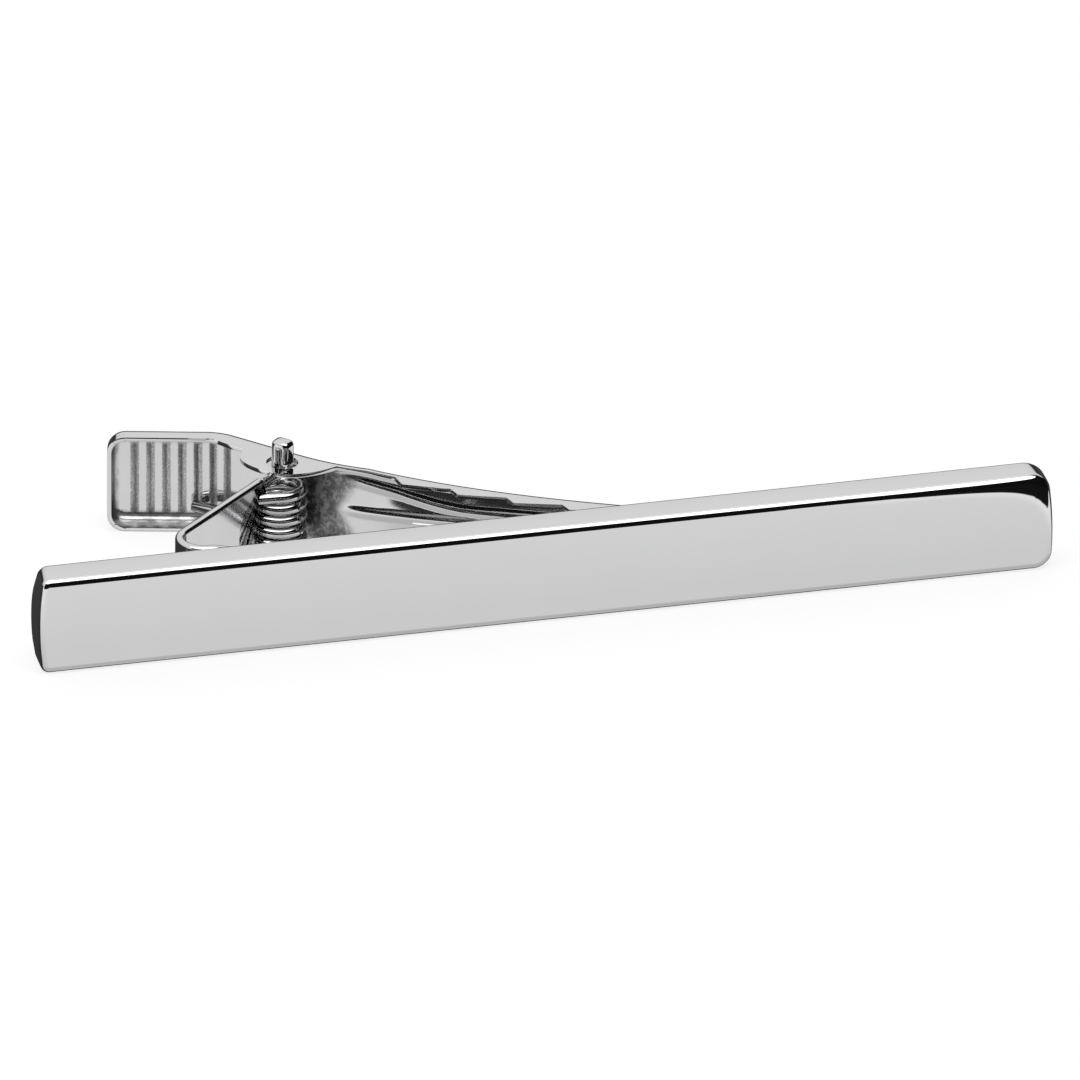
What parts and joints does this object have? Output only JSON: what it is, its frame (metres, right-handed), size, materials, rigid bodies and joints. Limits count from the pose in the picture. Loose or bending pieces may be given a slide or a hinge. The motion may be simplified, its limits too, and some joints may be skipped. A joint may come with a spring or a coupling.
{
  "type": "tie clip",
  "caption": "Sprung tie clip: a polished bar with a folded base strip behind it, a toothed lever with a ribbed thumb pad, and a torsion spring round the pivot.",
  "frame": {"origin": "centre of the bar's flat front face", "axes": "+X along the bar, from the end nearer the thumb pad; +Y back from the front towards the clip; +Z across the bar's width, upwards as the clip stands on its long edge"},
  "size_m": [0.06, 0.0188, 0.0076],
  "materials": {
    "bar_polish": "mirror polished, silver coloured",
    "strip_nickel": "bright plated sheet, a little softer than the bar",
    "lever_polish": "bright plated sheet, with matte textured flutes inside the pad",
    "spring_wire": "bright plated spring wire"
  },
  "bodies": {
    "clip_base": {"bar": "bar_polish", "base_strip": "strip_nickel", "spring": "spring_wire"},
    "lever": {"lever": "lever_polish"}
  },
  "joints": [
    {"name": "lever_pivot", "type": "hinge", "parent": "clip_base", "child": "lever", "pos_m": [-0.01276, 0.0121, 0], "axis": [0, 0, 1], "range_deg": [0, 25], "stiffness_Nm_per_rad": 0.02, "springref_deg": -28.65, "deforming": ["spring"]}
  ]
}
